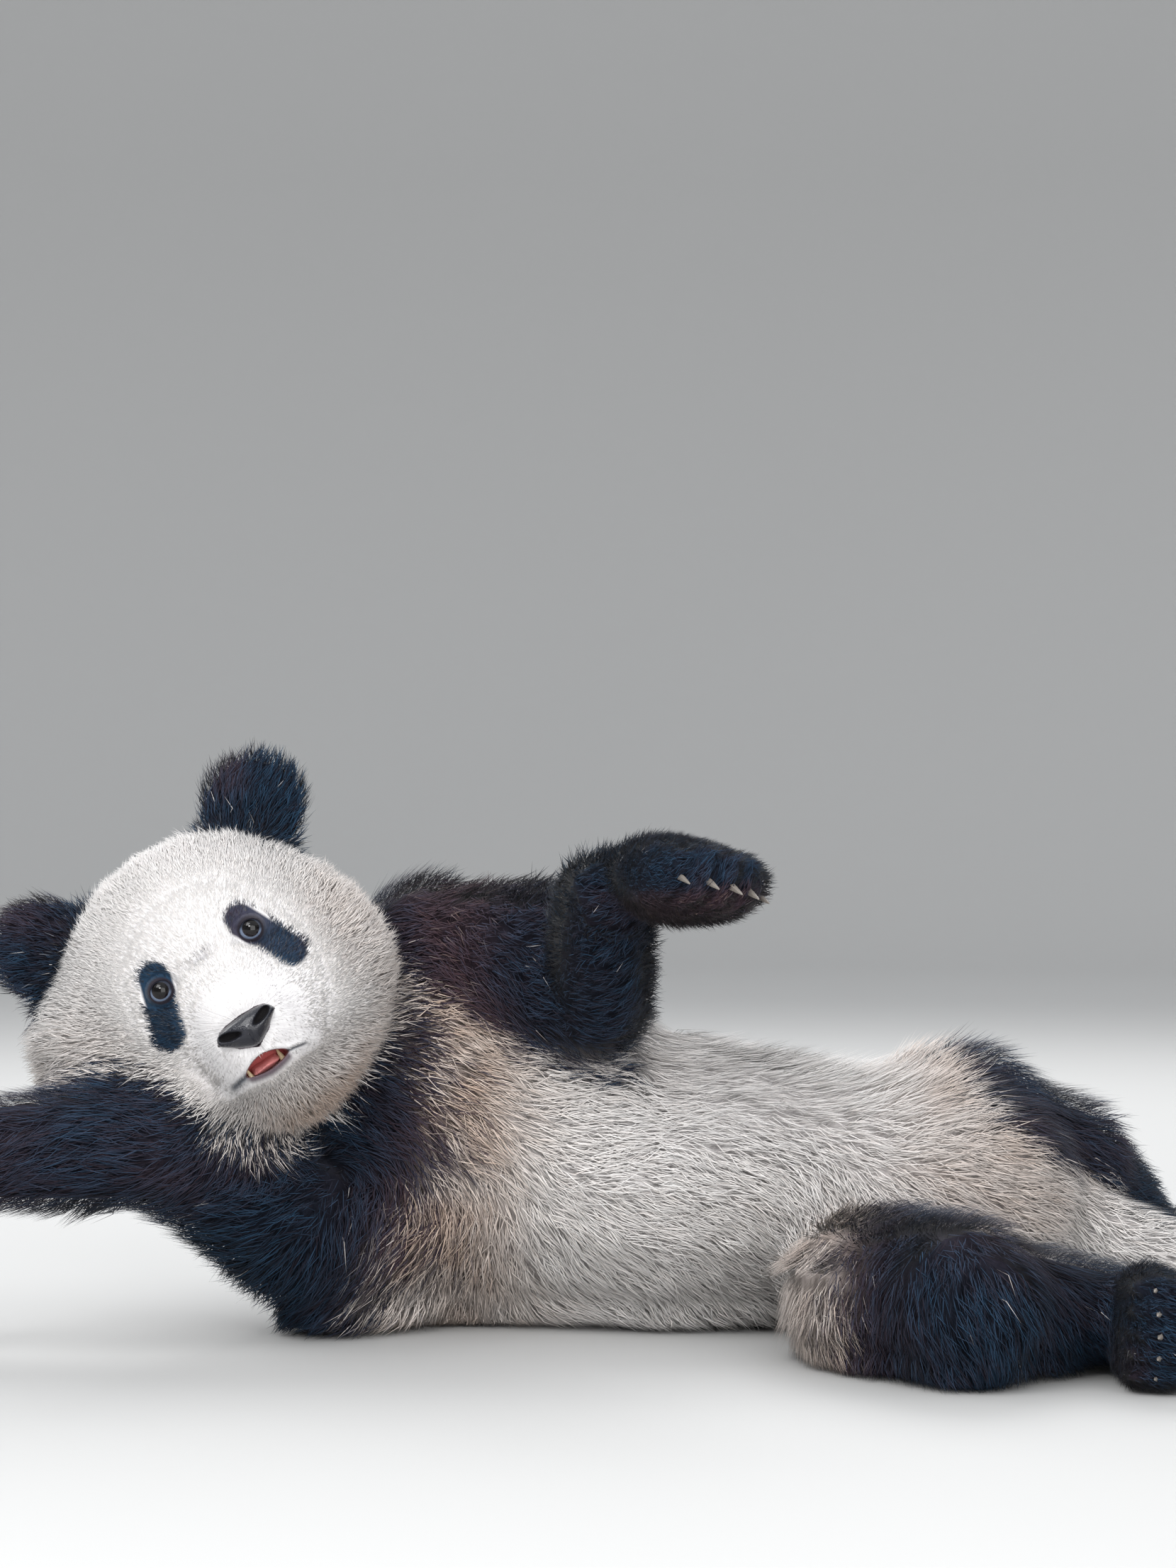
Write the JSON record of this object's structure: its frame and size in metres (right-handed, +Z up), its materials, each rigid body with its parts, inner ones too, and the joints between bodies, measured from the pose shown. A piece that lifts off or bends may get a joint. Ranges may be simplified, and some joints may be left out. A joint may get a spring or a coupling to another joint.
{
  "type": "giant panda",
  "caption": "Young giant panda lying on its right side with its chin on one arm, as a still, life-size model that rests on the floor.",
  "frame": {"origin": "on the floor, at the middle of the flat under the trunk", "axes": "+X from the head to the tail, -Y towards the belly, +Z up; the animal's left side is uppermost"},
  "size_m": [1.3862, 0.7076, 0.5151],
  "materials": {
    "white_coat": "dense cream-white fur, stained tan at the cheeks, chin and rump",
    "black_coat": "dense black fur with a faint blue sheen and brown tints",
    "eye": "wet, dark brown eyeball",
    "nose": "moist, finely pebbled black skin",
    "tongue": "moist pink tongue",
    "tooth": "yellowed ivory enamel",
    "claw": "smooth grey-brown horn"
  },
  "bodies": {
    "root": {"trunk": "white_coat", "head": "white_coat", "neck": "white_coat", "tail": "white_coat", "ear_left": "black_coat", "ear_right": "black_coat", "upper_arm_left": "black_coat", "forearm_left": "black_coat", "hand_left": "black_coat", "upper_arm_right": "black_coat", "forearm_right": "black_coat", "hand_right": "black_coat", "thigh_left": "black_coat", "shin_left": "black_coat", "foot_left": "black_coat", "thigh_right": "black_coat", "shin_right": "black_coat", "foot_right": "black_coat", "eye_left": "eye", "eye_right": "eye", "nose": "nose", "tongue": "tongue", "tooth_left": "tooth", "tooth_right": "tooth", "hand_left_claw_1": "claw", "hand_left_claw_2": "claw", "hand_left_claw_3": "claw", "hand_left_claw_4": "claw", "hand_left_claw_5": "claw", "hand_right_claw_1": "claw", "hand_right_claw_2": "claw", "hand_right_claw_3": "claw", "hand_right_claw_4": "claw", "hand_right_claw_5": "claw", "foot_left_claw_1": "claw", "foot_left_claw_2": "claw", "foot_left_claw_3": "claw", "foot_left_claw_4": "claw", "foot_left_claw_5": "claw", "foot_right_claw_1": "claw", "foot_right_claw_2": "claw", "foot_right_claw_3": "claw", "foot_right_claw_4": "claw", "foot_right_claw_5": "claw"}
  },
  "joints": []
}
